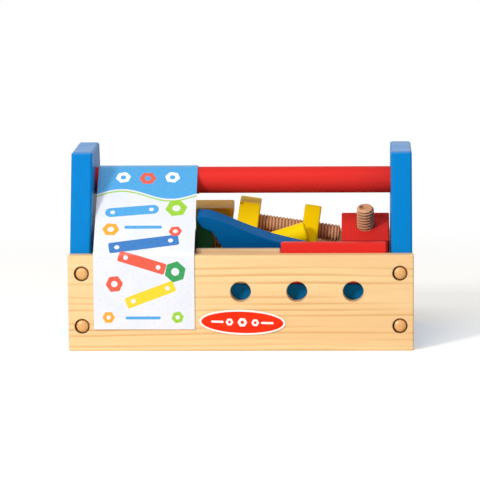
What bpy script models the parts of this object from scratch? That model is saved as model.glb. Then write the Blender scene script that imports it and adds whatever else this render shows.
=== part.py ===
# Wooden toy tool box with its loose tools, bolts, nuts and bars.
# Metres, +Z up. X runs along the box, the front faces -Y, and the origin is the middle of the footprint.

import math

import bmesh
import bpy
from mathutils import Matrix, Vector

# Clearances and cutting
GAP = 0.0003
OVERRUN = 0.002
ROUND_SIDES = 32
HOLE_SIDES = 24
SMALL_SIDES = 16
SHARP_ANGLE = math.radians(35)
HALF_HEX_TURN = math.radians(30)
EDGE_SIDES = 1

# Box
BOX_LENGTH = 0.255
BOX_DEPTH = 0.140
PANEL_HEIGHT = 0.0715
PANEL_THICKNESS = 0.011
PANEL_EDGE = 0.0008
END_THICKNESS = 0.0155
END_INSET = 0.0009
END_HEIGHT = 0.1435
END_TOP_DEPTH = 0.068
END_EDGE = 0.0012
BOARD_THICKNESS = 0.008
BOARD_TOP = 0.0177
GROOVE_DEPTH = 0.004

# Peg holes in the long panels
PEG_HOLE = 0.0155
PEG_PITCH = 0.0415
PEG_COUNT = 5
PEG_HEIGHT = 0.0442

# Handle
HANDLE_DIAMETER = 0.020
HANDLE_HEIGHT = 0.1185
HANDLE_SOCKET = 0.008

# Screws and their plugs
PLUG_BORE = 0.0113
PLUG_DIAMETER = 0.0100
PLUG_RECESS = 0.0050
PLUG_DOME = 0.0016
SCREW_POST_SHARE = 0.6
SCREW_LOW = 0.0186
SCREW_HIGH = 0.0578
SCREW_SHANK = 0.0035
SCREW_HEAD = 0.0070
SCREW_HEAD_DEPTH = 0.0020
SCREW_BITE = 0.014
DOME_STEPS = 3

# Badge
BADGE_LENGTH = 0.0636
BADGE_HEIGHT = 0.0188
BADGE_THICKNESS = 0.0006
BADGE_OFFSET = 0.0012
BADGE_MIDDLE = 0.0216
BADGE_TILT = math.radians(1.7)
BADGE_SIDES = 48

# Card
CARD_WIDTH = 0.0746
CARD_RIGHT = -0.0339
CARD_THICKNESS = 0.0006
CARD_FOOT = 0.0164
CARD_TAB = 0.012
CARD_WRAP_GAP = 0.0005
CARD_WRAP_STEPS = 8

# Bars that lie along the front wall, and the others
BAR_WIDTH = 0.0303
BAR_THICKNESS = 0.0084
BAR_HOLE = 0.0150
BAR_END = 0.01825
BAR_EDGE = 0.0008
LONG_BAR_HOLES = 4
LONG_BAR_END = 0.039
SHORT_BAR_HOLES = 2
RED_BAR_LEFT = 0.0296
STRIP_LENGTH = 0.0627
STRIP_WIDTH = 0.0255
SLAT_LENGTH = 0.078
BACK_SLAT_GAP = 0.0048

# Bolts and nuts
THREAD_DIAMETER = 0.0130
HEX_FLATS = 0.033
HEX_THICKNESS = 0.016
HEX_SLOT_WIDTH = 0.003
HEX_SLOT_DEPTH = 0.003
HEX_SOCKET = 0.007
NUT_SIDE = 0.036
NUT_THICKNESS = 0.0125
NUT_EDGE = 0.0008
THREAD_CLEARANCE = 0.0003

# Yellow bolt, lying under the handle
YELLOW_HEAD_X = 0.0030
YELLOW_BEFORE_DRIVER = 0.0092
YELLOW_SLOPE = math.radians(8.3)
YELLOW_THREAD = 0.0624
YELLOW_NUT_TRAVEL = 0.0413
YELLOW_LEAN = math.radians(10)
YELLOW_HEAD_TURN = math.radians(8)

# Red bolt, standing at the right and leaning forward
RED_LEAN = math.radians(27.5)
RED_CLEARANCE = 0.0003
RED_FACE_Y = -0.0025
RED_FACE_Z = 0.0834
RED_TIP = 0.0172

# Green bolt, lying at the back on the left
GREEN_HEAD_LEFT = -0.084
GREEN_ROOM = 0.0004
GREEN_NUT_RIGHT = -0.0247
GREEN_LEAN = math.radians(3.0)

# Yellow bar on top of the green bolt
YELLOW_BAR_RIGHT = -0.0084
YELLOW_BAR_TILT = math.radians(5)
YELLOW_BAR_OVERHANG = 0.006

# Hammer
HAMMER_SLOPE = math.radians(17.4)
HAMMER_HANDLE = 0.017
HAMMER_AXIS_Y = -0.0095
HAMMER_END_X = 0.0481
HAMMER_END_Z = 0.0795
HAMMER_HEAD_SIDE = 0.030
HAMMER_HEAD_LENGTH = 0.056
HAMMER_CLAW_WIDTH = 0.007
HAMMER_CLAW_DEPTH = 0.017
HAMMER_FACE_ROUND = 0.002
HAMMER_END_ROUND = 0.001
HAMMER_SOCKET_WALL = 0.004

# Wrench
WRENCH_THICKNESS = 0.014
WRENCH_SLOPE = math.radians(14.4)
WRENCH_LEAN = math.radians(16)
WRENCH_NOTCH_X = -0.0170
WRENCH_MIDDLE_Y = -0.0312
WRENCH_NOTCH_Z = 0.0786
WRENCH_LENGTH = 0.120
WRENCH_TOP_EDGE = 0.0106
WRENCH_HANDLE_WIDTH = 0.018
WRENCH_JAW = 0.028
WRENCH_TOP_START = 0.0448
WRENCH_LOW_START = 0.0532
WRENCH_MOUTH = math.radians(133.8)
# Points of the jaw as shares of WRENCH_JAW, chosen by hand from its upper tip round to the lower one.
WRENCH_TOP_SHARES = ((-0.72, 0.565), (-0.56, 0.612), (-0.34, 0.632), (0.10, 0.572), (0.454, 0.505), (0.932, 0.438))
WRENCH_LOW_SHARES = ((1.45, -0.24), (0.95, -0.46), (0.664, -0.746))
WRENCH_LOW_TIP_SHARES = ((0.461, -0.782), (0.225, -0.521))
WRENCH_UPPER_TIP_SHARES = ((-0.53, 0.300), (-0.72, 0.470))
WRENCH_END_STEPS = 8
CURVE_STEPS = 5

# Screwdriver
DRIVER_HANDLE = 0.030
DRIVER_HANDLE_LENGTH = 0.075
DRIVER_ROOM = 0.0038
DRIVER_CLEARANCE = 0.00195
DRIVER_SHAFT = 0.009
DRIVER_SHAFT_LENGTH = 0.068
DRIVER_SOCKET = 0.012
DRIVER_BLADE = 0.0032
DRIVER_BLADE_LENGTH = 0.014
DRIVER_ROUND = 0.003

# Turns an outline drawn in X and Y, so that its X becomes Y and its Y becomes Z, or the other way round
OUTLINE_TO_YZ = Matrix(((0, 0, 1, 0), (1, 0, 0, 0), (0, 1, 0, 0), (0, 0, 0, 1)))
OUTLINE_TO_SIDE = Matrix(((0, 1, 0, 0), (0, 0, 1, 0), (1, 0, 0, 0), (0, 0, 0, 1)))

# Sizes that follow from the ones above
HALF_LENGTH = BOX_LENGTH / 2
HALF_DEPTH = BOX_DEPTH / 2
INNER_X = HALF_LENGTH - END_INSET - END_THICKNESS
INNER_Y = HALF_DEPTH - PANEL_THICKNESS
FLOOR = BOARD_TOP + GAP
BAR_TOP = FLOOR + BAR_WIDTH
THREAD_RADIUS = THREAD_DIAMETER / 2
BORE_DIAMETER = THREAD_DIAMETER + 2 * THREAD_CLEARANCE
HEX_RADIUS = HEX_FLATS / 2 / math.cos(HALF_HEX_TURN)
HEX_REACH = HEX_RADIUS - NUT_EDGE / 2
# The green bolt's thread ends short of the yellow bolt's head.
YELLOW_HEAD_LEFT = (YELLOW_HEAD_X - HEX_THICKNESS / 2 * math.cos(YELLOW_SLOPE)
                    - HEX_RADIUS * math.sin(YELLOW_SLOPE))
GREEN_THREAD = YELLOW_HEAD_LEFT - GREEN_ROOM - GREEN_HEAD_LEFT - HEX_THICKNESS
# The red bolt stands as close to the right end panel as its head can turn, and the screwdriver lies beside it.
RED_AXIS_X = INNER_X - RED_CLEARANCE - max(NUT_SIDE / 2, HEX_REACH)
DRIVER_RIGHT = RED_AXIS_X - HEX_REACH - DRIVER_ROOM
GREEN_NUT_REACH = NUT_SIDE / 2 * math.cos(GREEN_LEAN) + (NUT_SIDE / 2 - NUT_EDGE) * math.sin(GREEN_LEAN)
GREEN_REACH = max(HEX_REACH, GREEN_NUT_REACH)
GREEN_AXIS_Y = INNER_Y - GAP - GREEN_REACH
# The green bolt lies on the slat behind the screwdriver, or on the screwdriver's shaft where that is higher.
DRIVER_AXIS_Z = FLOOR + BAR_THICKNESS + GAP + DRIVER_HANDLE / 2
DRIVER_AXIS_Y = GREEN_AXIS_Y - BAR_THICKNESS / 2 - DRIVER_CLEARANCE - DRIVER_SHAFT / 2
YELLOW_AXIS_Y = DRIVER_AXIS_Y - YELLOW_BEFORE_DRIVER
GREEN_AXIS_Z = max(BAR_TOP, DRIVER_AXIS_Z + DRIVER_SHAFT / 2) + GAP + GREEN_REACH


def clear_scene():
    for item in list(bpy.data.objects):
        bpy.data.objects.remove(item, do_unlink=True)


def make_material(name, colour, roughness, metallic=0.0):
    material = bpy.data.materials.new(name)
    material.use_nodes = True
    shader = material.node_tree.nodes["Principled BSDF"]
    shader.inputs["Base Color"].default_value = (*colour, 1.0)
    shader.inputs["Roughness"].default_value = roughness
    shader.inputs["Metallic"].default_value = metallic
    return material


def add_object(name, mesh_data, material):
    mesh = bpy.data.meshes.new(name)
    bmesh.ops.recalc_face_normals(mesh_data, faces=mesh_data.faces)
    if mesh_data.calc_volume(signed=True) < 0:
        bmesh.ops.reverse_faces(mesh_data, faces=mesh_data.faces)
    mesh_data.to_mesh(mesh)
    mesh_data.free()
    item = bpy.data.objects.new(name, mesh)
    bpy.context.collection.objects.link(item)
    if material:
        mesh.materials.append(material)
    return item


def smooth(item):
    item.data.shade_smooth()
    item.data.set_sharp_from_angle(angle=SHARP_ANGLE)


def prism(outline, thickness, start=0.0):
    """Straight solid: an outline in X and Y, raised along Z from start."""
    shape = bmesh.new()
    base = [shape.verts.new((x, y, start)) for x, y in outline]
    face = shape.faces.new(base)
    raised = bmesh.ops.extrude_face_region(shape, geom=[face])
    moved = [part for part in raised["geom"] if isinstance(part, bmesh.types.BMVert)]
    bmesh.ops.translate(shape, verts=moved, vec=(0.0, 0.0, thickness))
    return shape


def rectangle(width, height):
    x, y = width / 2, height / 2
    return [(-x, -y), (x, -y), (x, y), (-x, y)]


def circle(radius, sides, start=0.0):
    turn = 2 * math.pi / sides
    return [(radius * math.cos(start + turn * step), radius * math.sin(start + turn * step))
            for step in range(sides)]


def turned(profile, sides):
    """Solid of revolution about Z from (radius, height) points that begin and end on the axis."""
    shape = bmesh.new()
    turn = 2 * math.pi / sides
    rings = []
    for radius, height in profile:
        if radius == 0:
            rings.append([shape.verts.new((0.0, 0.0, height))])
            continue
        rings.append([])
        for step in range(sides):
            angle = turn * step
            rings[-1].append(shape.verts.new((radius * math.cos(angle), radius * math.sin(angle), height)))
    for low, high in zip(rings, rings[1:]):
        for step in range(sides):
            after = (step + 1) % sides
            corners = [low[step % len(low)], low[after % len(low)],
                       high[after % len(high)], high[step % len(high)]]
            shape.faces.new(list(dict.fromkeys(corners)))
    return shape


def block(x, y, z):
    """Rectangular solid from (low, high) pairs on each axis."""
    shape = bmesh.new()
    bmesh.ops.create_cube(shape, size=1.0)
    lows = Vector((x[0], y[0], z[0]))
    highs = Vector((x[1], y[1], z[1]))
    bmesh.ops.scale(shape, vec=highs - lows, verts=shape.verts)
    bmesh.ops.translate(shape, vec=(lows + highs) / 2, verts=shape.verts)
    return shape


def place(item, frame):
    item.data.transform(frame)


def move_origin(item, pivot):
    """Puts the object's origin on its joint while its surface stays where it is."""
    item.data.transform(Matrix.Translation(-Vector(pivot)))
    item.location = pivot


def add_bevel(item, width):
    bevel = item.modifiers.new("edges", "BEVEL")
    bevel.width = width
    bevel.segments = EDGE_SIDES
    bevel.limit_method = "ANGLE"
    bevel.angle_limit = SHARP_ANGLE


def cut(item, name, mesh_data):
    """Cuts a hidden tool body out of an object."""
    tool = add_object(name, mesh_data, None)
    tool.hide_render = True
    tool.display_type = "WIRE"
    boolean = item.modifiers.new(name, "BOOLEAN")
    boolean.operation = "DIFFERENCE"
    boolean.solver = "EXACT"
    boolean.object = tool
    return tool


def along_y(length, radius, sides, middle, start=0.0):
    """Round rod along +Y from start, with its axis through the middle (x, z)."""
    shape = prism(circle(radius, sides), length)
    frame = Matrix.Translation((middle[0], start, middle[1])) @ Matrix.Rotation(-math.pi / 2, 4, "X")
    shape.transform(frame)
    return shape


def screw_places():
    distance = HALF_LENGTH - END_INSET - END_THICKNESS * SCREW_POST_SHARE
    return [(side * distance, height) for side in (-1, 1) for height in (SCREW_LOW, SCREW_HIGH)]


def long_panel(name, side, material):
    faces = sorted((side * INNER_Y, side * HALF_DEPTH))
    panel = add_object(name, block((-HALF_LENGTH, HALF_LENGTH), faces, (0.0, PANEL_HEIGHT)), material)
    add_bevel(panel, PANEL_EDGE)
    groove = sorted((side * (INNER_Y - OVERRUN), side * (INNER_Y + GROOVE_DEPTH)))
    reach = INNER_X - GAP
    cut(panel, f"{name}_groove",
        block((-reach, reach), groove, (BOARD_TOP - BOARD_THICKNESS - GAP, BOARD_TOP + GAP)))
    first = -(PEG_COUNT - 1) / 2
    start = min(side * HALF_DEPTH, side * INNER_Y) - OVERRUN
    through = PANEL_THICKNESS + 2 * OVERRUN
    for number in range(PEG_COUNT):
        middle = ((first + number) * PEG_PITCH, PEG_HEIGHT)
        tool = along_y(through, PEG_HOLE / 2, HOLE_SIDES, middle, start)
        cut(panel, f"{name}_peg_hole_{number + 1}", tool)
    recess = PLUG_RECESS + OVERRUN
    face = side * HALF_DEPTH
    for number, middle in enumerate(screw_places()):
        recess_start = face + OVERRUN - recess if side > 0 else face - OVERRUN
        cut(panel, f"{name}_recess_{number + 1}",
            along_y(recess, PLUG_BORE / 2, HOLE_SIDES, middle, recess_start))
        cut(panel, f"{name}_screw_hole_{number + 1}",
            along_y(through, SCREW_SHANK / 2 + GAP, SMALL_SIDES, middle, start))
    smooth(panel)
    return panel


def end_panel(name, side, material):
    low = INNER_Y - GAP
    top = END_TOP_DEPTH / 2
    right_half = [(low, 0.0), (low, PANEL_HEIGHT), (top, END_HEIGHT)]
    outline = right_half + [(-x, height) for x, height in reversed(right_half)]
    near = side * INNER_X
    far = side * (INNER_X + END_THICKNESS)
    shape = prism(outline, END_THICKNESS, min(near, far))
    shape.transform(OUTLINE_TO_YZ)
    panel = add_object(name, shape, material)
    add_bevel(panel, END_EDGE)
    socket = prism(circle(HANDLE_DIAMETER / 2 + GAP, ROUND_SIDES), HANDLE_SOCKET + GAP + OVERRUN)
    lean = Matrix.Rotation(math.pi / 2 * side, 4, "Y")
    socket.transform(Matrix.Translation((side * (INNER_X - OVERRUN), 0.0, HANDLE_HEIGHT)) @ lean)
    cut(panel, f"{name}_handle_socket", socket)
    for number, (x, z) in enumerate(screw_places()):
        if x * side < 0:
            continue
        for face in (-1, 1):
            length = SCREW_BITE + GAP + OVERRUN
            begin = -low - OVERRUN if face < 0 else low + OVERRUN - length
            cut(panel, f"{name}_pilot_{number + 1}_{face + 2}",
                along_y(length, SCREW_SHANK / 2 + GAP, SMALL_SIDES, (x, z), begin))
    smooth(panel)
    return panel


def bottom_board(material):
    reach = INNER_Y + GROOVE_DEPTH - GAP
    half = INNER_X - 2 * GAP
    shape = block((-half, half), (-reach, reach), (BOARD_TOP - BOARD_THICKNESS, BOARD_TOP))
    return add_object("bottom_board", shape, material)


def handle_dowel(material):
    half = INNER_X + HANDLE_SOCKET
    shape = prism(circle(HANDLE_DIAMETER / 2, ROUND_SIDES), 2 * half, -half)
    shape.transform(Matrix.Translation((0.0, 0.0, HANDLE_HEIGHT)) @ Matrix.Rotation(math.pi / 2, 4, "Y"))
    dowel = add_object("handle_dowel", shape, material)
    smooth(dowel)
    return dowel


def fitting_places():
    """Name ending, side and place of each screw with its plug."""
    return [(f"{label}_{number + 1}", side, x, z)
            for label, side in (("front", -1), ("back", 1))
            for number, (x, z) in enumerate(screw_places())]


def panel_screws(material):
    """Wood screws, each turned as one profile along its own axis and driven from the panel's face."""
    head_top = -PLUG_RECESS + GAP + SCREW_HEAD_DEPTH
    head_foot = -PLUG_RECESS + GAP
    tip = -PANEL_THICKNESS - SCREW_BITE
    profile = [(0.0, head_top), (SCREW_HEAD / 2, head_top), (SCREW_HEAD / 2, head_foot),
               (SCREW_SHANK / 2, head_foot), (SCREW_SHANK / 2, tip), (0.0, tip)]
    for label, side, x, z in fitting_places():
        screw = add_object(f"screw_{label}", turned(profile, SMALL_SIDES), material)
        tilt = Matrix.Rotation(-side * math.pi / 2, 4, "X")
        place(screw, Matrix.Translation((x, side * HALF_DEPTH, z)) @ tilt)
        smooth(screw)


def button_plugs(material):
    """Domed wooden buttons that stand on the screw heads, their crowns level with the panel's face."""
    radius = PLUG_DIAMETER / 2
    bottom = -PLUG_RECESS + SCREW_HEAD_DEPTH + 2 * GAP
    profile = [(0.0, bottom), (radius, bottom)]
    for step in range(DOME_STEPS):
        angle = math.pi / 2 * step / DOME_STEPS
        profile.append((radius * math.cos(angle), -PLUG_DOME + PLUG_DOME * math.sin(angle)))
    profile.append((0.0, 0.0))
    for label, side, x, z in fitting_places():
        plug = add_object(f"plug_{label}", turned(profile, HOLE_SIDES), material)
        tilt = Matrix.Rotation(-side * math.pi / 2, 4, "X")
        place(plug, Matrix.Translation((x, side * HALF_DEPTH, z)) @ tilt)
        smooth(plug)


def badge(material):
    outline = [(BADGE_LENGTH / 2 * math.cos(angle), BADGE_HEIGHT / 2 * math.sin(angle))
               for angle in (2 * math.pi * step / BADGE_SIDES for step in range(BADGE_SIDES))]
    shape = prism(outline, BADGE_THICKNESS)
    front = -HALF_DEPTH - GAP
    upright = Matrix.Rotation(BADGE_TILT, 4, "Y") @ Matrix.Rotation(math.pi / 2, 4, "X")
    shape.transform(Matrix.Translation((BADGE_OFFSET, front, BADGE_MIDDLE)) @ upright)
    return add_object("badge", shape, material)


def card_path():
    """Outline in Y and Z that the card follows: up the front, over the rim, round the handle and down."""
    radius = HANDLE_DIAMETER / 2 + CARD_WRAP_GAP
    front = -HALF_DEPTH - GAP
    rim = PANEL_HEIGHT + GAP
    # The slope is the tangent from the rim to the handle.
    reach = math.hypot(front, HANDLE_HEIGHT - rim)
    towards = math.atan2(HANDLE_HEIGHT - rim, -front)
    turn = towards + math.asin(radius / reach)
    start = turn + math.pi / 2
    points = [(front, CARD_FOOT), (front, rim)]
    for step in range(CARD_WRAP_STEPS + 1):
        angle = start - start * step / CARD_WRAP_STEPS
        points.append((radius * math.cos(angle), HANDLE_HEIGHT + radius * math.sin(angle)))
    points.append((radius, HANDLE_HEIGHT - CARD_TAB))
    return points


def card(material):
    inner = [Vector(point) for point in card_path()]
    outer = []
    for index, point in enumerate(inner):
        before = inner[max(index - 1, 0)]
        after = inner[min(index + 1, len(inner) - 1)]
        first = (point - before).normalized() if index else (after - point).normalized()
        second = (after - point).normalized() if index < len(inner) - 1 else first
        normal = (Vector((-first.y, first.x)) + Vector((-second.y, second.x))).normalized()
        spread = normal.dot(Vector((-first.y, first.x)))
        outer.append(point + normal * (CARD_THICKNESS / spread))
    outline = [tuple(point) for point in inner] + [tuple(point) for point in reversed(outer)]
    left = CARD_RIGHT - CARD_WIDTH
    shape = prism(outline, CARD_WIDTH, left)
    shape.transform(OUTLINE_TO_YZ)
    return add_object("card", shape, material)


def standing_bar(name, left, low, length, width, front, holes, material):
    """Flat bar on its long edge, its wide faces towards the front and back."""
    shape = block((left, left + length), (front, front + BAR_THICKNESS), (low, low + width))
    bar = add_object(name, shape, material)
    add_bevel(bar, BAR_EDGE)
    for number, place_x in enumerate(holes):
        tool = along_y(BAR_THICKNESS + 2 * OVERRUN, BAR_HOLE / 2, HOLE_SIDES,
                       (left + place_x, low + width / 2), front - OVERRUN)
        cut(bar, f"{name}_hole_{number + 1}", tool)
    smooth(bar)
    return bar


def flat_bar(name, corner, length, holes, material, tilt=0.0):
    """Bar lying down with its left front lower corner there, and its front edge turned down by the tilt."""
    frame = Matrix.Translation(corner) @ Matrix.Rotation(tilt, 4, "X")
    bar = add_object(name, block((0.0, length), (0.0, BAR_WIDTH), (0.0, BAR_THICKNESS)), material)
    add_bevel(bar, BAR_EDGE)
    for number, place_x in enumerate(holes):
        tool = prism(circle(BAR_HOLE / 2, HOLE_SIDES), BAR_THICKNESS + 2 * OVERRUN, -OVERRUN)
        tool.transform(frame @ Matrix.Translation((place_x, BAR_WIDTH / 2, 0.0)))
        cut(bar, f"{name}_hole_{number + 1}", tool)
    place(bar, frame)
    smooth(bar)
    return bar


def hole_row(count, margin):
    return [margin + PEG_PITCH * number for number in range(count)]


def row_length(count, margin):
    return PEG_PITCH * (count - 1) + 2 * margin


def front_bars(wood, red, blue):
    front = -INNER_Y + GAP
    length = row_length(LONG_BAR_HOLES, LONG_BAR_END)
    standing_bar("blue_bar", -length / 2, FLOOR, length, BAR_WIDTH, front,
                 hole_row(LONG_BAR_HOLES, LONG_BAR_END), blue)
    short = row_length(SHORT_BAR_HOLES, BAR_END)
    standing_bar("red_bar", RED_BAR_LEFT, BAR_TOP + GAP, short, BAR_WIDTH, front,
                 hole_row(SHORT_BAR_HOLES, BAR_END), red)
    left = RED_BAR_LEFT - GAP - STRIP_LENGTH
    standing_bar("natural_bar", left, BAR_TOP + GAP, STRIP_LENGTH, STRIP_WIDTH, front,
                 [STRIP_LENGTH / 2], wood)


def hidden_slats(wood, blue, red):
    """Plain slats under the heap that carry what shows above the rim."""
    half = BAR_THICKNESS / 2
    # The hammer's handle rests on the left corner of this one.
    lift = HAMMER_HANDLE / 2 / math.cos(HAMMER_SLOPE) + GAP
    left = HAMMER_END_X - (HAMMER_END_Z - BAR_TOP - lift) / math.tan(HAMMER_SLOPE) - BAR_EDGE
    standing_bar("middle_slat", left, FLOOR, SLAT_LENGTH, BAR_WIDTH, HAMMER_AXIS_Y - half, [], blue)
    right, rest_y = wrench_rest()
    standing_bar("wrench_slat", right - SLAT_LENGTH, FLOOR, SLAT_LENGTH, BAR_WIDTH, rest_y - half, [], wood)
    driver_left = DRIVER_RIGHT - DRIVER_HANDLE_LENGTH
    standing_bar("back_slat", driver_left - BACK_SLAT_GAP - SLAT_LENGTH, FLOOR, SLAT_LENGTH, BAR_WIDTH,
                 GREEN_AXIS_Y - half, [], wood)
    flat_bar("flat_slat", (DRIVER_RIGHT - SLAT_LENGTH, DRIVER_AXIS_Y - BAR_WIDTH / 2, FLOOR), SLAT_LENGTH, [], red)


def axis_frame(origin, direction, upright):
    """Frame whose Z is the direction and whose X is as near as it can be to upright."""
    z = Vector(direction).normalized()
    x = Vector(upright)
    x = (x - z * x.dot(z)).normalized()
    y = z.cross(x)
    frame = Matrix((x, y, z)).transposed().to_4x4()
    frame.translation = Vector(origin)
    return frame


def bolt_head(name, frame, material):
    """Hexagonal head below the frame's origin, with a driver slot and a blind socket for its thread."""
    shape = prism(circle(HEX_RADIUS, 6), HEX_THICKNESS, -HEX_THICKNESS)
    head = add_object(name, shape, material)
    add_bevel(head, NUT_EDGE)
    slot = block((-HEX_RADIUS - OVERRUN, HEX_RADIUS + OVERRUN), (-HEX_SLOT_WIDTH / 2, HEX_SLOT_WIDTH / 2),
                 (-HEX_THICKNESS - OVERRUN, -HEX_THICKNESS + HEX_SLOT_DEPTH))
    socket = prism(circle(THREAD_RADIUS + GAP, HOLE_SIDES), HEX_SOCKET + GAP + OVERRUN, -HEX_SOCKET - GAP)
    for label, tool in (("slot", slot), ("socket", socket)):
        tool.transform(frame)
        cut(head, f"{name}_{label}", tool)
    place(head, frame)
    smooth(head)
    move_origin(head, frame.translation)
    return head


def bolt_thread(name, frame, length, material):
    shape = prism(circle(THREAD_RADIUS, HOLE_SIDES), length + HEX_SOCKET, -HEX_SOCKET)
    thread = add_object(name, shape, material)
    place(thread, frame)
    smooth(thread)
    move_origin(thread, frame.translation)
    return thread


def square_nut(name, frame, material):
    """Square nut whose near face lies in the frame's XY plane."""
    shape = prism(rectangle(NUT_SIDE, NUT_SIDE), NUT_THICKNESS)
    nut = add_object(name, shape, material)
    add_bevel(nut, NUT_EDGE)
    bore = prism(circle(BORE_DIAMETER / 2, HOLE_SIDES), NUT_THICKNESS + 2 * OVERRUN, -OVERRUN)
    bore.transform(frame)
    cut(nut, f"{name}_bore", bore)
    place(nut, frame)
    smooth(nut)
    move_origin(nut, frame.translation)
    return nut


def yellow_height():
    """Height of the head's middle at which the nut's lowest edge rests on the screwdriver's handle."""
    side = NUT_SIDE / 2
    reach = side * math.cos(YELLOW_LEAN) + (side - NUT_EDGE) * math.sin(YELLOW_LEAN)
    radius = DRIVER_HANDLE / 2
    offset = YELLOW_AXIS_Y + side * (math.cos(YELLOW_LEAN) - math.sin(YELLOW_LEAN)) - DRIVER_AXIS_Y
    rest = DRIVER_AXIS_Z + math.sqrt(radius ** 2 - offset ** 2) + GAP * 2
    nut_middle = rest + reach * math.cos(YELLOW_SLOPE) + NUT_THICKNESS / 2 * math.sin(YELLOW_SLOPE)
    return nut_middle + (YELLOW_NUT_TRAVEL + NUT_THICKNESS / 2) * math.sin(YELLOW_SLOPE)


def yellow_bolt(paint, thread_wood):
    direction = Vector((math.cos(YELLOW_SLOPE), 0.0, -math.sin(YELLOW_SLOPE)))
    middle = Vector((YELLOW_HEAD_X, YELLOW_AXIS_Y, yellow_height()))
    face = middle + direction * (HEX_THICKNESS / 2)
    corner = YELLOW_HEAD_TURN + HALF_HEX_TURN
    head_up = (0.0, -math.sin(corner), math.cos(corner))
    bolt_head("yellow_bolt_head", axis_frame(face, direction, head_up), paint)
    bolt_thread("yellow_bolt_thread", axis_frame(face, direction, head_up), YELLOW_THREAD, thread_wood)
    nut_up = (0.0, math.sin(YELLOW_LEAN), math.cos(YELLOW_LEAN))
    square_nut("yellow_nut", axis_frame(middle + direction * YELLOW_NUT_TRAVEL, direction, nut_up), paint)


def red_direction():
    return Vector((0.0, -math.sin(RED_LEAN), math.cos(RED_LEAN)))


def red_bolt(paint, thread_wood):
    """The head's front corner stands on the bottom board, and its length follows from that."""
    direction = red_direction()
    face = Vector((RED_AXIS_X, RED_FACE_Y, RED_FACE_Z))
    rim = HEX_RADIUS - NUT_EDGE / math.cos(HALF_HEX_TURN)
    foot = FLOOR + rim * math.sin(RED_LEAN)
    depth = (RED_FACE_Z - foot) / math.cos(RED_LEAN)
    seat = face - direction * (depth - HEX_THICKNESS)
    upright = (0.0, math.cos(RED_LEAN), math.sin(RED_LEAN))
    frame = axis_frame(seat, direction, upright)
    bolt_head("red_bolt_head", frame, paint)
    bolt_thread("red_bolt_thread", frame, depth - HEX_THICKNESS + RED_TIP, thread_wood)
    square_nut("red_nut", axis_frame(face - direction * NUT_THICKNESS, direction, upright), paint)


def green_bolt(paint, thread_wood):
    direction = Vector((1.0, 0.0, 0.0))
    face = Vector((GREEN_HEAD_LEFT + HEX_THICKNESS, GREEN_AXIS_Y, GREEN_AXIS_Z))
    frame = axis_frame(face, direction, (0.0, 0.0, 1.0))
    bolt_head("green_bolt_head", frame, paint)
    bolt_thread("green_bolt_thread", frame, GREEN_THREAD, thread_wood)
    nut_face = Vector((GREEN_NUT_RIGHT - NUT_THICKNESS, GREEN_AXIS_Y, GREEN_AXIS_Z))
    nut_up = (0.0, math.sin(GREEN_LEAN), math.cos(GREEN_LEAN))
    square_nut("green_nut", axis_frame(nut_face, direction, nut_up), paint)


def yellow_bar(paint):
    """It rests on the upper front edge of the green nut, with its own front edge a little lower."""
    length = row_length(SHORT_BAR_HOLES, BAR_END)
    side = NUT_SIDE / 2
    edge_y = GREEN_AXIS_Y - side * (math.cos(GREEN_LEAN) - math.sin(GREEN_LEAN))
    low = GREEN_AXIS_Z + GREEN_REACH + GAP - YELLOW_BAR_OVERHANG * math.tan(YELLOW_BAR_TILT)
    flat_bar("yellow_bar", (YELLOW_BAR_RIGHT - length, edge_y - YELLOW_BAR_OVERHANG, low), length,
             [length / 2], paint, YELLOW_BAR_TILT)


def hammer(paint, wood):
    """The handle slopes down to the left, and the head stands in the corner of the box."""
    direction = Vector((-math.cos(HAMMER_SLOPE), 0.0, -math.sin(HAMMER_SLOPE)))
    end = Vector((HAMMER_END_X, HAMMER_AXIS_Y, HAMMER_END_Z))
    half = HAMMER_HEAD_SIDE / 2
    corner = half * math.cos(HAMMER_SLOPE) + (half - HAMMER_FACE_ROUND) * math.sin(HAMMER_SLOPE)
    to_middle = (HAMMER_END_Z - FLOOR - corner) / math.sin(HAMMER_SLOPE)
    frame = axis_frame(end, direction, (0.0, 0.0, 1.0))
    grip = prism(circle(HAMMER_HANDLE / 2, ROUND_SIDES), to_middle + half - HAMMER_SOCKET_WALL)
    handle = add_object("hammer_handle", grip, paint)
    add_bevel(handle, HAMMER_END_ROUND)
    place(handle, frame)
    smooth(handle)
    move_origin(handle, end)
    side = HAMMER_HEAD_LENGTH / 2
    body = block((-half, half), (-side, side), (to_middle - half, to_middle + half))
    head = add_object("hammer_head", body, wood)
    add_bevel(head, HAMMER_FACE_ROUND)
    depth = HAMMER_HEAD_SIDE - HAMMER_SOCKET_WALL + GAP + OVERRUN
    socket = prism(circle(HAMMER_HANDLE / 2 + GAP, ROUND_SIDES), depth, to_middle - half - OVERRUN)
    claw = block((-half - OVERRUN, half + OVERRUN), (side - HAMMER_CLAW_DEPTH, side + OVERRUN),
                 (to_middle - HAMMER_CLAW_WIDTH / 2, to_middle + HAMMER_CLAW_WIDTH / 2))
    for label, tool in (("socket", socket), ("claw", claw)):
        tool.transform(frame)
        cut(head, f"hammer_head_{label}", tool)
    place(head, frame)
    smooth(head)
    move_origin(head, end)


def curve_through(points, steps):
    """Smooth line through the points, which keeps both ends."""
    vectors = [Vector(point) for point in points]
    path = []
    for index in range(len(vectors) - 1):
        before = vectors[max(index - 1, 0)]
        first, second = vectors[index], vectors[index + 1]
        after = vectors[min(index + 2, len(vectors) - 1)]
        for step in range(steps):
            t = step / steps
            path.append(0.5 * (2 * first + (second - before) * t
                               + (2 * before - 5 * first + 4 * second - after) * t * t
                               + (3 * first - before - 3 * second + after) * t ** 3))
    path.append(vectors[-1])
    return [tuple(point) for point in path]


def scaled(shares):
    return [(x * WRENCH_JAW, y * WRENCH_JAW) for x, y in shares]


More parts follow.
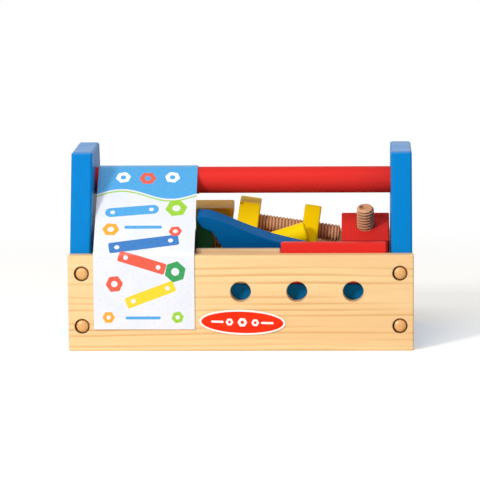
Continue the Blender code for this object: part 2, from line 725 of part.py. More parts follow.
def wrench_outline():
    """Outline in the wrench's plane: X along the handle, Y up, origin in the middle of the notch's floor."""
    low_edge = WRENCH_TOP_EDGE - WRENCH_HANDLE_WIDTH
    end_radius = WRENCH_HANDLE_WIDTH / 2
    end_x = WRENCH_LENGTH - end_radius
    middle_y = WRENCH_TOP_EDGE - end_radius
    top_line = scaled(WRENCH_TOP_SHARES) + [(WRENCH_TOP_START, WRENCH_TOP_EDGE), (end_x, WRENCH_TOP_EDGE)]
    outline = curve_through(top_line, CURVE_STEPS)
    for step in range(1, WRENCH_END_STEPS):
        angle = math.pi / 2 - math.pi * step / WRENCH_END_STEPS
        outline.append((end_x + end_radius * math.cos(angle), middle_y + end_radius * math.sin(angle)))
    low_line = [(end_x, low_edge), (WRENCH_LOW_START, low_edge)] + scaled(WRENCH_LOW_SHARES)
    outline += curve_through(low_line, CURVE_STEPS)
    outline += scaled(WRENCH_LOW_TIP_SHARES)
    corner_x = HEX_RADIUS / 2 * math.cos(WRENCH_MOUTH)
    corner_y = HEX_RADIUS / 2 * math.sin(WRENCH_MOUTH)
    outline += [(-corner_x, -corner_y), (corner_x, corner_y)]
    outline += scaled(WRENCH_UPPER_TIP_SHARES)
    return outline


def wrench_rest():
    """X and Y of the place where the handle's lower front edge comes down to the slat below it."""
    low_edge = WRENCH_TOP_EDGE - WRENCH_HANDLE_WIDTH
    half = WRENCH_THICKNESS / 2
    corner = half * math.sin(WRENCH_LEAN)
    drop = (WRENCH_NOTCH_Z - BAR_TOP - GAP * 2 - corner) / math.cos(WRENCH_LEAN)
    rest_x = WRENCH_NOTCH_X + (drop + low_edge / math.cos(WRENCH_SLOPE)) / math.tan(WRENCH_SLOPE)
    return rest_x, WRENCH_MIDDLE_Y + drop * math.sin(WRENCH_LEAN) - half * math.cos(WRENCH_LEAN)


def wrench(paint):
    shape = prism(wrench_outline(), WRENCH_THICKNESS, -WRENCH_THICKNESS / 2)
    item = add_object("wrench", shape, paint)
    upright = Matrix.Rotation(math.pi / 2, 4, "X")
    slope = Matrix.Rotation(WRENCH_SLOPE, 4, "Y")
    lean = Matrix.Rotation(WRENCH_LEAN, 4, "X")
    middle = Vector((WRENCH_NOTCH_X, WRENCH_MIDDLE_Y, WRENCH_NOTCH_Z))
    place(item, Matrix.Translation(middle) @ lean @ slope @ upright)
    move_origin(item, middle)
    smooth(item)
    return item


def screwdriver(paint, wood):
    """It lies on the flat slat with its blade to the left."""
    radius = DRIVER_HANDLE / 2
    end = Vector((DRIVER_RIGHT, DRIVER_AXIS_Y, DRIVER_AXIS_Z))
    frame = axis_frame(end, (-1.0, 0.0, 0.0), (0.0, 0.0, 1.0))
    grip = prism(circle(radius, ROUND_SIDES), DRIVER_HANDLE_LENGTH)
    handle = add_object("screwdriver_handle", grip, paint)
    add_bevel(handle, DRIVER_ROUND)
    socket = prism(circle(DRIVER_SHAFT / 2 + GAP, HOLE_SIDES), DRIVER_SOCKET + GAP + OVERRUN,
                   DRIVER_HANDLE_LENGTH - DRIVER_SOCKET - GAP)
    socket.transform(frame)
    cut(handle, "screwdriver_socket", socket)
    place(handle, frame)
    smooth(handle)
    move_origin(handle, end)
    start = DRIVER_HANDLE_LENGTH - DRIVER_SOCKET
    tip = DRIVER_HANDLE_LENGTH + DRIVER_SHAFT_LENGTH
    rod = prism(circle(DRIVER_SHAFT / 2, HOLE_SIDES), tip - start, start)
    shaft = add_object("screwdriver_shaft", rod, wood)
    for side in (-1, 1):
        flat = [(tip - DRIVER_BLADE_LENGTH, side * (DRIVER_SHAFT / 2 + OVERRUN)),
                (tip + OVERRUN, side * (DRIVER_SHAFT / 2 + OVERRUN)),
                (tip + OVERRUN, side * DRIVER_BLADE / 2),
                (tip, side * DRIVER_BLADE / 2)]
        tool = prism(flat, DRIVER_SHAFT + 2 * OVERRUN, -DRIVER_SHAFT / 2 - OVERRUN)
        tool.transform(frame @ OUTLINE_TO_SIDE)
        cut(shaft, f"screwdriver_blade_{side + 2}", tool)
    place(shaft, frame)
    smooth(shaft)
    move_origin(shaft, end)


def main():
    clear_scene()
    pine = make_material("pine", (0.95, 0.69, 0.38), 0.45)
    blue = make_material("blue_paint", (0.0, 0.24, 0.62), 0.35)
    red = make_material("red_paint", (0.86, 0.05, 0.03), 0.35)
    yellow = make_material("yellow_paint", (0.95, 0.63, 0.0), 0.35)
    green = make_material("green_paint", (0.03, 0.28, 0.07), 0.35)
    thread_wood = make_material("thread_wood", (0.62, 0.30, 0.16), 0.55)
    steel = make_material("screw_steel", (0.60, 0.60, 0.62), 0.35, 1.0)
    paper = make_material("printed_card", (0.88, 0.90, 0.93), 0.35)
    label = make_material("badge_print", (0.90, 0.05, 0.01), 0.30)

    long_panel("front_panel", -1, pine)
    long_panel("back_panel", 1, pine)
    end_panel("left_end_panel", -1, blue)
    end_panel("right_end_panel", 1, blue)
    bottom_board(pine)
    handle_dowel(red)
    panel_screws(steel)
    button_plugs(pine)
    badge(label)
    card(paper)
    front_bars(pine, red, blue)
    hidden_slats(pine, blue, red)
    yellow_bolt(yellow, thread_wood)
    red_bolt(red, thread_wood)
    green_bolt(green, thread_wood)
    yellow_bar(yellow)
    hammer(yellow, pine)
    wrench(blue)
    screwdriver(red, pine)


main()
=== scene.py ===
import math

import bmesh
import bpy
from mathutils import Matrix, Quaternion, Vector


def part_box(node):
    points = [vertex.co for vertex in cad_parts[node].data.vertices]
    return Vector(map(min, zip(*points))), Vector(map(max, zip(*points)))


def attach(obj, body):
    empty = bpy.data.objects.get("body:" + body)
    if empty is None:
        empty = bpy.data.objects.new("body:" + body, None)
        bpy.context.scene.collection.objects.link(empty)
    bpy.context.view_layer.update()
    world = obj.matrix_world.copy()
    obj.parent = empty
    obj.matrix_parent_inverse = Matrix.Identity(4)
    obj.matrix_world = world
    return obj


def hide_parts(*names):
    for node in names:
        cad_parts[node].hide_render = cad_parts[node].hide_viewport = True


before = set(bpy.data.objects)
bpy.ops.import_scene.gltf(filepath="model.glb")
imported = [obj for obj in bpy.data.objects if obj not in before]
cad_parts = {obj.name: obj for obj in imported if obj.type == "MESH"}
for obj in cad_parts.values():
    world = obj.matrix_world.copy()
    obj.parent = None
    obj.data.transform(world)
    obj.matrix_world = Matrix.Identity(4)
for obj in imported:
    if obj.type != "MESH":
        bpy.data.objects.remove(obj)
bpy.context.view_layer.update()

# Cut threads of the toy bolts
PITCH = 0.0025
THREAD_RADIUS = 0.0065
THREAD_CUT = 0.0011
THREAD_SHARPNESS = 1.7
TURNED_END = 0.0016
RINGS_PER_TURN = 10
THREAD_SIDES = 40

# Card: it lies over the front panel's rim and round the handle, and ends in a tab behind it
CARD_THICKNESS = 0.0006
CARD_RIM_GAP = 0.0003
CARD_TAB = 0.012
CARD_FOLD = 0.0016
CARD_BOW = 0.0007
FRONT_STEPS, FOLD_STEPS, SLOPE_STEPS, WRAP_STEPS, TAB_STEPS = 4, 6, 24, 20, 6
CARD_COLUMNS = 12
SHARP_EDGE = math.radians(50)

# Card's sides in X, and its inner side in Y and Z, from the frame
card_low, card_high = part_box("card")
CARD_LEFT, CARD_RIGHT, CARD_FOOT = card_low.x, card_high.x, card_low.z
CARD_FRONT, CARD_WRAP = card_low.y + CARD_THICKNESS, card_high.y - CARD_THICKNESS
CARD_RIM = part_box("front_panel")[1].z + CARD_RIM_GAP
HANDLE_HEIGHT = sum(corner.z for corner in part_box("handle_dowel")) / 2

# Prints, drawn in millimetres. A plain bar's holes reach so far out that they are off the bar.
MILLIMETRES = 1000.0
PRINT_WIDTH, PRINT_LENGTH = (CARD_RIGHT - CARD_LEFT) * MILLIMETRES, 176.0
PRINT_EDGE = 0.06
OFF_THE_BAR = 90.0

# Badge: how far it hangs askew, and its red field inside the white border
BADGE_TURN = math.radians(1.7)
BADGE_FIELD_WIDTH, BADGE_FIELD_HEIGHT = 60.6, 16.0

# Layout of the node editor, and the colour sockets of a Mix node among its others
NODES_IN_A_ROW = 12
NODE_SPACE_ACROSS, NODE_SPACE_DOWN = 220, 260
MIX_SHARE, MIX_FIRST, MIX_SECOND, MIX_RESULT = 0, 6, 7, 2


# Wiring

def paint_mix(red, green, blue):
    """A screen colour from 0 to 255 as the linear colour a shader takes."""
    def linear(value):
        share = value / 255
        return share / 12.92 if share <= 0.04045 else ((share + 0.055) / 1.055) ** 2.4
    return (linear(red), linear(green), linear(blue), 1.0)


class Wiring:
    """Adds nodes to one tree. Where an input takes a socket, a plain value may stand as well."""

    def __init__(self, tree):
        self.tree = tree
        self.count = 0

    def feed(self, socket, value):
        if isinstance(value, bpy.types.NodeSocket):
            self.tree.links.new(value, socket)
        else:
            socket.default_value = value

    def node(self, kind, values=(), named=None, **settings):
        made = self.tree.nodes.new(kind)
        row, column = divmod(self.count, NODES_IN_A_ROW)
        made.location = (NODE_SPACE_ACROSS * column, -NODE_SPACE_DOWN * row)
        self.count += 1
        for key, value in settings.items():
            setattr(made, key, value)
        for socket, value in zip(made.inputs, values):
            self.feed(socket, value)
        for key, value in (named or {}).items():
            self.feed(made.inputs[key], value)
        return made

    def math(self, operation, *values):
        return self.node("ShaderNodeMath", values, operation=operation).outputs[0]

    def plus(self, first, second):
        return self.math("ADD", first, second)

    def minus(self, first, second):
        return self.math("SUBTRACT", first, second)

    def times(self, first, second):
        return self.math("MULTIPLY", first, second)

    def over(self, first, second):
        return self.math("DIVIDE", first, second)

    def larger(self, first, second):
        return self.math("MAXIMUM", first, second)

    def unsigned(self, value):
        return self.math("ABSOLUTE", value)

    def vector(self, operation, *values):
        made = self.node("ShaderNodeVectorMath", values, operation=operation)
        gives_number = operation in ("LENGTH", "DISTANCE", "DOT_PRODUCT")
        return made.outputs["Value"] if gives_number else made.outputs[0]

    def scaled(self, arrow, factor):
        return self.node("ShaderNodeVectorMath", (arrow,), {"Scale": factor}, operation="SCALE").outputs[0]

    def length(self, x, y):
        return self.vector("LENGTH", self.join(x, y, 0.0))

    def ramp(self, value, low, high, to_low=0.0, to_high=1.0, bend="SMOOTHSTEP"):
        return self.node("ShaderNodeMapRange", (value, low, high, to_low, to_high),
                         interpolation_type=bend).outputs[0]

    def blend(self, share, first, second, how="MIX"):
        made = self.node("ShaderNodeMix", data_type="RGBA", blend_type=how)
        for socket, value in ((MIX_SHARE, share), (MIX_FIRST, first), (MIX_SECOND, second)):
            self.feed(made.inputs[socket], value)
        return made.outputs[MIX_RESULT]

    def noise(self, place, scale, detail=2.0, rough=0.5):
        return self.node("ShaderNodeTexNoise", named={"Vector": place, "Scale": scale, "Detail": detail,
                                                      "Roughness": rough}).outputs[0]

    def stretch(self, place, x, y, z):
        return self.vector("MULTIPLY", place, (x, y, z))

    def split(self, place):
        return self.node("ShaderNodeSeparateXYZ", (place,)).outputs

    def join(self, x, y, z):
        return self.node("ShaderNodeCombineXYZ", (x, y, z)).outputs[0]

    def object_place(self):
        return self.node("ShaderNodeTexCoord").outputs["Object"]


def shared_effect(name, inputs, outputs):
    """An empty node group with its sockets; returns its wiring, its inputs and its outlet."""
    tree = bpy.data.node_groups.new(name, "ShaderNodeTree")
    kinds = {"value": "NodeSocketFloat", "place": "NodeSocketVector"}
    for label, kind, start in inputs:
        socket = tree.interface.new_socket(name=label, in_out="INPUT", socket_type=kinds[kind])
        if start is not None:
            socket.default_value = start
    for label, kind in outputs:
        tree.interface.new_socket(name=label, in_out="OUTPUT", socket_type=kinds[kind])
    wire = Wiring(tree)
    inlet = wire.node("NodeGroupInput")
    outlet = wire.node("NodeGroupOutput")
    return wire, inlet.outputs, outlet.inputs


def use(wire, effect, **values):
    """Places a shared effect; the words of an input's name are joined by underscores here."""
    made = wire.node("ShaderNodeGroup", node_tree=effect)
    for key, value in values.items():
        wire.feed(made.inputs[key.replace("_", " ").capitalize()], value)
    return made.outputs


# Shared effects

def sawn_grain():
    """Growth rings round a far heart, with the grain along X, and fine fibres."""
    wire, inlet, outlet = shared_effect(
        "sawn_grain",
        (("Place", "place", None), ("Ring spacing", "value", 0.006), ("Heart y", "value", 0.05),
         ("Heart z", "value", -0.06), ("Wander", "value", 0.004)),
        (("Rings", "value"), ("Fibres", "value"), ("Cloud", "value"), ("Height", "value")))
    place = inlet["Place"]
    x, y, z = wire.split(place)
    away_y = wire.minus(y, inlet["Heart y"])
    away_z = wire.minus(z, inlet["Heart z"])
    radius = wire.math("SQRT", wire.plus(wire.times(away_y, away_y), wire.times(away_z, away_z)))
    slow = wire.noise(wire.stretch(place, 5.0, 26.0, 26.0), 1.0, 2.0)
    drift = wire.times(wire.minus(slow, 0.5), wire.times(inlet["Wander"], 4.0))
    turn = wire.over(wire.plus(radius, drift), inlet["Ring spacing"])
    share = wire.math("FRACT", turn)
    late = wire.ramp(share, 0.45, 0.92)
    back = wire.ramp(share, 0.92, 0.99, 1.0, 0.0)
    ring_place = wire.join(wire.times(x, 4.0), wire.math("FLOOR", turn), 0.0)
    strength = wire.ramp(wire.noise(ring_place, 1.3, 1.0), 0.35, 0.68)
    rings = wire.times(wire.times(late, back), strength)
    fine = wire.noise(wire.stretch(place, 28.0, 900.0, 900.0), 1.0, 3.0, 0.6)
    fibres = wire.ramp(fine, 0.36, 0.66)
    cloud = wire.noise(wire.stretch(place, 5.0, 40.0, 40.0), 1.0, 2.0)
    wire.feed(outlet["Rings"], rings)
    wire.feed(outlet["Fibres"], fibres)
    wire.feed(outlet["Cloud"], cloud)
    wire.feed(outlet["Height"], wire.plus(wire.times(fibres, 0.6), wire.times(rings, 0.5)))
    return wire.tree


def eased_edges():
    """The normal of an edge eased with sandpaper, and a mask of the edge itself."""
    wire, inlet, outlet = shared_effect(
        "eased_edges", (("Width", "value", 0.0008),), (("Normal", "place"), ("Edge", "value")))
    bevel = wire.node("ShaderNodeBevel", samples=6, named={"Radius": inlet["Width"]}).outputs[0]
    flat = wire.node("ShaderNodeNewGeometry").outputs["True Normal"]
    bend = wire.minus(1.0, wire.vector("DOT_PRODUCT", bevel, flat))
    wire.feed(outlet["Normal"], bevel)
    wire.feed(outlet["Edge"], wire.ramp(bend, 0.01, 0.16))
    return wire.tree


def handling():
    """Faint smears of small hands, and a few shallow dents."""
    wire, inlet, outlet = shared_effect(
        "handling", (("Place", "place", None), ("Dents", "value", 0.5)),
        (("Smears", "value"), ("Height", "value")))
    place = inlet["Place"]
    smears = wire.ramp(wire.noise(place, 38.0, 4.0, 0.6), 0.42, 0.72)
    cells = wire.node("ShaderNodeTexVoronoi", named={"Vector": place, "Scale": 70.0}, feature="F1").outputs[0]
    pits = wire.ramp(cells, 0.0, 0.13, 1.0, 0.0)
    rare = wire.math("GREATER_THAN", wire.noise(place, 46.0, 0.0), 0.62)
    pits = wire.times(wire.times(pits, rare), inlet["Dents"])
    wire.feed(outlet["Smears"], smears)
    wire.feed(outlet["Height"], wire.times(pits, -1.0))
    return wire.tree


SHAPE_PLACE = (("Place", "place", None), ("Middle x", "value", 0.0), ("Middle y", "value", 0.0),
               ("Turn", "value", 0.0))


def turned_about(wire, inlet):
    """Print place moved to a shape's middle and turned by its angle, as X and Y."""
    x, y, _ = wire.split(inlet["Place"])
    x = wire.minus(x, inlet["Middle x"])
    y = wire.minus(y, inlet["Middle y"])
    cosine = wire.math("COSINE", inlet["Turn"])
    sine = wire.math("SINE", inlet["Turn"])
    along = wire.plus(wire.times(x, cosine), wire.times(y, sine))
    across = wire.minus(wire.times(y, cosine), wire.times(x, sine))
    return along, across


def inked_inside(wire, distance):
    """1 where the signed distance to a printed edge is below zero."""
    return wire.ramp(distance, -PRINT_EDGE, PRINT_EDGE, 1.0, 0.0)


def printed_bar():
    """Mask of a bar with rounded corners and a hole at each end."""
    wire, inlet, outlet = shared_effect(
        "printed_bar",
        SHAPE_PLACE + (("Half length", "value", 10.0), ("Half width", "value", 4.0), ("Corner", "value", 1.0),
                       ("Hole", "value", 1.5), ("Hole reach", "value", 6.0)),
        (("Mask", "value"),))
    along, across = turned_about(wire, inlet)
    along, across = wire.unsigned(along), wire.unsigned(across)
    corner = inlet["Corner"]
    over_x = wire.larger(wire.minus(along, wire.minus(inlet["Half length"], corner)), 0.0)
    over_y = wire.larger(wire.minus(across, wire.minus(inlet["Half width"], corner)), 0.0)
    outside = wire.minus(wire.length(over_x, over_y), corner)
    hole = wire.minus(inlet["Hole"], wire.length(wire.minus(along, inlet["Hole reach"]), across))
    wire.feed(outlet["Mask"], inked_inside(wire, wire.larger(outside, hole)))
    return wire.tree


def printed_nut():
    """Mask of a six-sided nut with a round hole."""
    wire, inlet, outlet = shared_effect(
        "printed_nut", SHAPE_PLACE + (("Size", "value", 5.0), ("Hole", "value", 2.0)), (("Mask", "value"),))
    along, across = turned_about(wire, inlet)
    far = wire.unsigned(across)
    for turn in (math.radians(60), math.radians(-60)):
        side = wire.minus(wire.times(across, math.cos(turn)), wire.times(along, math.sin(turn)))
        far = wire.math("SMOOTH_MAX", far, wire.unsigned(side), 0.6)
    outside = wire.minus(far, inlet["Size"])
    hole = wire.minus(inlet["Hole"], wire.length(along, across))
    wire.feed(outlet["Mask"], inked_inside(wire, wire.larger(outside, hole)))
    return wire.tree


SAWN_GRAIN, EASED_EDGES, HANDLING = sawn_grain(), eased_edges(), handling()
PRINTED_BAR, PRINTED_NUT = printed_bar(), printed_nut()


# Finishes

PAINT_SHEEN = 0.05


def new_finish(name):
    finish = bpy.data.materials.new(name)
    finish.use_nodes = True
    finish.node_tree.nodes.clear()
    return finish, Wiring(finish.node_tree)


def finish_surface(wire, colour, rough, height, depth, edge_width, **sockets):
    """Ends a finish: colour and roughness into the shader, and height as a bump on eased edges."""
    edges = use(wire, EASED_EDGES, width=edge_width)
    bump = wire.node("ShaderNodeBump", named={"Strength": 1.0, "Distance": depth, "Height": height,
                                              "Normal": edges["Normal"]}).outputs[0]
    shader = wire.node("ShaderNodeBsdfPrincipled", named={"Base Color": colour, "Roughness": rough,
                                                          "Normal": bump})
    for key, value in sockets.items():
        wire.feed(shader.inputs[key.replace("_", " ").title().replace("Ior", "IOR")], value)
    wire.node("ShaderNodeOutputMaterial", (shader.outputs[0],))
    return shader


def along_grain(wire, tilt=(0.0, 0.0, 0.0), shift=(0.0, 0.0, 0.0)):
    """Object place turned so that the piece's own length lies along X."""
    return wire.node("ShaderNodeMapping", vector_type="TEXTURE",
                     named={"Vector": wire.object_place(), "Rotation": tilt, "Location": shift}).outputs[0]


def clear_pine(name, tilt=(0.0, 0.0, 0.0), shift=(0.0, 0.0, 0.0), spacing=0.0034, heart=(0.05, 0.16),
               tone=(1.0, 1.0, 1.0)):
    """Pale pine under clear lacquer: honey rings, fine fibres and a slightly rosier cloud."""
    finish, wire = new_finish(name)
    place = along_grain(wire, tilt, shift)
    grain = use(wire, SAWN_GRAIN, place=place, ring_spacing=spacing, heart_y=heart[0], heart_z=heart[1],
                wander=0.0014)
    marks = use(wire, HANDLING, place=place, dents=0.6)
    pale, rosy = paint_mix(241, 207, 152), paint_mix(237, 196, 141)
    ring, fibre = paint_mix(216, 163, 101), paint_mix(226, 172, 110)
    body = wire.blend(wire.ramp(grain["Cloud"], 0.36, 0.66), pale, rosy)
    body = wire.blend(wire.times(grain["Rings"], 0.92), body, ring)
    body = wire.blend(wire.times(grain["Fibres"], 0.16), body, fibre)
    body = wire.blend(1.0, body, (*tone, 1.0), "MULTIPLY")
    height = wire.plus(grain["Height"], wire.times(marks["Height"], 3.0))
    rough = wire.ramp(wire.plus(marks["Smears"], grain["Fibres"]), 0.0, 2.0, 0.40, 0.54, bend="LINEAR")
    finish_surface(wire, body, rough, height, depth=0.00005, edge_width=0.0009, specular_ior_level=0.3)
    return finish


def from_nearest_plug(wire):
    """X and Z from the middle of the plug that the place lies on; the four stand in a rectangle."""
    middles = [sum(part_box(f"plug_front_{number}"), Vector()) / 2 for number in range(1, 5)]
    side = max(middle.x for middle in middles)
    low, high = min(middle.z for middle in middles), max(middle.z for middle in middles)
    x, _, z = wire.split(wire.object_place())
    raised = wire.minus(z, (low + high) / 2)
    right = wire.minus(x, wire.times(wire.math("SIGN", x), side))
    up = wire.minus(raised, wire.times(wire.math("SIGN", raised), (high - low) / 2))
    return right, up


def plug_pine(name):
    """Domed end-grain button under clear lacquer: darker towards its rim, with a dark joint line round it
    that widens on one side into a painted shadow of the recess wall.
    """
    finish, wire = new_finish(name)
    place = along_grain(wire, (0.0, math.radians(8), math.radians(90)))
    grain = use(wire, SAWN_GRAIN, place=place, ring_spacing=0.0022, heart_y=0.3, heart_z=0.0, wander=0.0042)
    right, up = from_nearest_plug(wire)
    out = wire.length(right, up)
    # The plug turns browner towards its rim.
    darker_rim_start, darker_rim_end = 0.0036, 0.0051
    # A dark joint line round the plug. Its middle is shifted to the right, so the line widens on the left
    # into a painted shadow cast by the recess wall.
    joint_shadow_right, joint_shadow_up, joint_shadow_start, joint_shadow_end = 0.0008, 0.0002, 0.0047, 0.0052
    joint_and_shadow = wire.length(wire.minus(right, joint_shadow_right), wire.minus(up, joint_shadow_up))
    pores = wire.ramp(wire.noise(place, 1500.0, 3.0, 0.7), 0.50, 0.72)
    pale, ring, pore = paint_mix(230, 174, 106), paint_mix(202, 142, 80), paint_mix(170, 110, 56)
    darker_rim_brown, dark_joint_and_shadow = paint_mix(146, 84, 34), paint_mix(48, 20, 6)
    body = wire.blend(wire.times(grain["Rings"], 0.6), pale, ring)
    body = wire.blend(wire.times(pores, 0.45), body, pore)
    body = wire.blend(wire.ramp(out, darker_rim_start, darker_rim_end), body, darker_rim_brown)
    body = wire.blend(wire.ramp(joint_and_shadow, joint_shadow_start, joint_shadow_end), body, dark_joint_and_shadow)
    rough = wire.ramp(pores, 0.0, 1.0, 0.26, 0.42)
    depth, dome_bend = 0.00005, 30.0
    dome = wire.times(wire.times(out, out), -dome_bend / depth)
    finish_surface(wire, body, rough, wire.plus(dome, grain["Height"]), depth, edge_width=0.0006,
                   specular_ior_level=0.5)
    return finish


def lacquer(name, colour, tilt=(0.0, 0.0, 0.0), shift=(0.0, 0.0, 0.0), spacing=0.006, top_sheen=None):
    """Opaque paint on wood: the grain shows faintly, and the colour is thinner along the edges."""
    finish, wire = new_finish(name)
    place = along_grain(wire, tilt, shift)
    grain = use(wire, SAWN_GRAIN, place=place, ring_spacing=spacing, heart_y=0.04, heart_z=-0.05,
                wander=0.004)
    marks = use(wire, HANDLING, place=place, dents=0.8)
    deep_share, thin_share, bare_wood = 0.91, 0.84, 0.05
    deep = tuple(value * deep_share for value in colour[:3]) + (1.0,)
    thin = tuple(value * thin_share + bare_wood for value in colour[:3]) + (1.0,)
    body = wire.blend(wire.times(grain["Rings"], 0.40), colour, deep)
    body = wire.blend(wire.ramp(grain["Cloud"], 0.40, 0.66, 0.0, 0.25), body, deep)
    edge = use(wire, EASED_EDGES, width=0.0005)["Edge"]
    worn = wire.times(edge, wire.ramp(wire.noise(place, 300.0, 3.0), 0.42, 0.66, 0.10, 0.55))
    body = wire.blend(worn, body, thin)
    height = wire.plus(wire.times(grain["Height"], 0.5), wire.times(marks["Height"], 3.0))
    rough = wire.ramp(marks["Smears"], 0.0, 1.0, 0.39, 0.51)
    shader = finish_surface(wire, body, rough, height, depth=0.00006, edge_width=0.0010,
                            specular_ior_level=PAINT_SHEEN)
    if top_sheen:
        facing_up = wire.split(wire.node("ShaderNodeNewGeometry").outputs["Normal"])[2]
        wire.feed(shader.inputs["Specular IOR Level"],
                  wire.ramp(facing_up, 0.6, 0.9, PAINT_SHEEN, top_sheen))
    return finish


def cut_thread(name):
    """Turned hardwood, darker at the bottom of the cut and fuzzy along the fibres."""
    finish, wire = new_finish(name)
    place = along_grain(wire)
    groove = wire.node("ShaderNodeAttribute", attribute_name="groove").outputs["Fac"]
    fuzz = wire.noise(place, 900.0, 3.0, 0.6)
    cloud = wire.noise(place, 60.0, 3.0)
    light, dark = paint_mix(234, 182, 138), paint_mix(212, 152, 108)
    shade, fibre = paint_mix(112, 66, 44), paint_mix(236, 190, 148)
    body = wire.blend(wire.ramp(cloud, 0.35, 0.65), light, dark)
    body = wire.blend(wire.ramp(groove, 0.30, 0.95), body, shade)
    body = wire.blend(wire.ramp(fuzz, 0.45, 0.75, 0.0, 0.35), body, fibre)
    rough = wire.ramp(fuzz, 0.3, 0.7, 0.55, 0.75)
    finish_surface(wire, body, rough, fuzz, depth=0.00008, edge_width=0.0003)
    return finish


def zinc(name):
    """Zinc-plated screw with a brushed, slightly yellowed skin."""
    finish, wire = new_finish(name)
    place = along_grain(wire)
    streaks = wire.noise(wire.stretch(place, 600.0, 60.0, 600.0), 1.0, 3.0)
    stain = wire.noise(place, 160.0, 3.0)
    body = wire.blend(wire.ramp(stain, 0.4, 0.7), paint_mix(196, 198, 200), paint_mix(182, 172, 140))
    rough = wire.ramp(streaks, 0.3, 0.7, 0.24, 0.42)
    finish_surface(wire, body, rough, streaks, depth=0.00002, edge_width=0.0002, metallic=1.0)
    return finish


CARD_INKS = {"sky": paint_mix(66, 160, 218), "deep": paint_mix(30, 112, 184),
             "lime": paint_mix(150, 200, 36), "leaf": paint_mix(34, 150, 78),
             "coral": paint_mix(226, 84, 58), "amber": paint_mix(250, 164, 24),
             "sun": paint_mix(250, 208, 20), "chalk": paint_mix(240, 244, 250)}
# Bars on the card: middle across and up, turn, half length, half width, corner, hole, hole's reach, ink
CARD_BARS = (
    (27.0, 98.0, 0.10, 20.0, 4.4, 4.2, 1.8, 14.5, "sky"),
    (37.0, 66.0, 0.16, 26.0, 5.0, 1.6, 1.9, 20.0, "deep"),
    (36.0, 50.0, -0.30, 18.0, 4.2, 1.4, 1.7, 12.5, "coral"),
    (42.0, 26.0, 0.36, 19.0, 4.2, 1.4, 1.7, 13.5, "sun"),
    (36.0, 82.0, 0.0, 14.0, 1.5, 1.4, 0.0, OFF_THE_BAR, "sky"),
    (36.5, 8.6, 0.0, 13.0, 1.1, 1.0, 0.0, OFF_THE_BAR, "sky"))
# Nuts on the card: middle across and up, turn, half width, hole, ink
CARD_NUTS = (
    (19.0, 132.0, 0.2, 5.0, 2.1, "chalk"),
    (37.5, 131.0, 0.0, 5.6, 2.4, "coral"),
    (56.0, 132.0, -0.2, 5.0, 2.1, "chalk"),
    (60.0, 100.5, 0.15, 7.2, 3.0, "lime"),
    (12.0, 80.0, -0.1, 5.6, 2.4, "amber"),
    (60.5, 43.0, 0.3, 7.0, 2.9, "leaf"),
    (15.5, 34.0, 0.1, 5.6, 2.3, "coral"),
    (60.0, 78.0, 0.1, 4.4, 1.8, "coral"),
    (62.0, 9.0, 0.2, 4.0, 1.6, "lime"),
    (11.0, 9.0, 0.0, 4.0, 1.6, "amber"))


def card_print(name):
    """Glossy print on white card: plain nuts, bars and a wave in the colours of the tools, without words."""
    finish, wire = new_finish(name)
    sheet = wire.node("ShaderNodeUVMap", uv_map="print").outputs[0]
    place = wire.stretch(sheet, PRINT_WIDTH, PRINT_LENGTH, 0.0)
    x, y, _ = wire.split(place)
    white = wire.ramp(wire.noise(place, 0.05, 1.0), 0.3, 0.7)
    ink = wire.blend(white, paint_mix(229, 230, 238), paint_mix(222, 226, 236))
    wave_up, wave_bend, wave_height = 115.0, 0.085, 5.0
    line_below, line_core, line_edge = 2.2, 0.55, 0.70
    wave = wire.plus(wave_up, wire.times(wire.math("SINE", wire.times(x, wave_bend)), wave_height))
    rise = wire.minus(y, wave)
    ink = wire.blend(wire.ramp(rise, -PRINT_EDGE, PRINT_EDGE), ink, CARD_INKS["sky"])
    from_line = wire.unsigned(wire.plus(rise, line_below))
    ink = wire.blend(wire.ramp(from_line, line_core, line_edge, 1.0, 0.0), ink, CARD_INKS["lime"])
    for left, up, turn, length, width, corner, hole, reach, colour in CARD_BARS:
        mask = use(wire, PRINTED_BAR, place=place, middle_x=left, middle_y=up, turn=turn, half_length=length,
                   half_width=width, corner=corner, hole=hole, hole_reach=reach)["Mask"]
        ink = wire.blend(mask, ink, CARD_INKS[colour])
    for left, up, turn, size, hole, colour in CARD_NUTS:
        mask = use(wire, PRINTED_NUT, place=place, middle_x=left, middle_y=up, turn=turn, size=size,
                   hole=hole)["Mask"]
        ink = wire.blend(mask, ink, CARD_INKS[colour])
    board = wire.ramp(wire.noise(place, 0.9, 3.0), 0.35, 0.65)
    board = wire.blend(board, paint_mix(206, 198, 184), paint_mix(190, 181, 166))
    front = wire.node("ShaderNodeAttribute", attribute_name="printed").outputs["Fac"]
    ink = wire.blend(wire.ramp(front, 0.4, 0.6), board, ink)
    flutes = wire.noise(place, 0.35, 2.0)
    rough = wire.ramp(flutes, 0.3, 0.7, 0.26, 0.36)
    finish_surface(wire, ink, rough, flutes, depth=0.00004, edge_width=0.0002, coat_weight=0.15,
                   coat_roughness=0.2)
    return finish


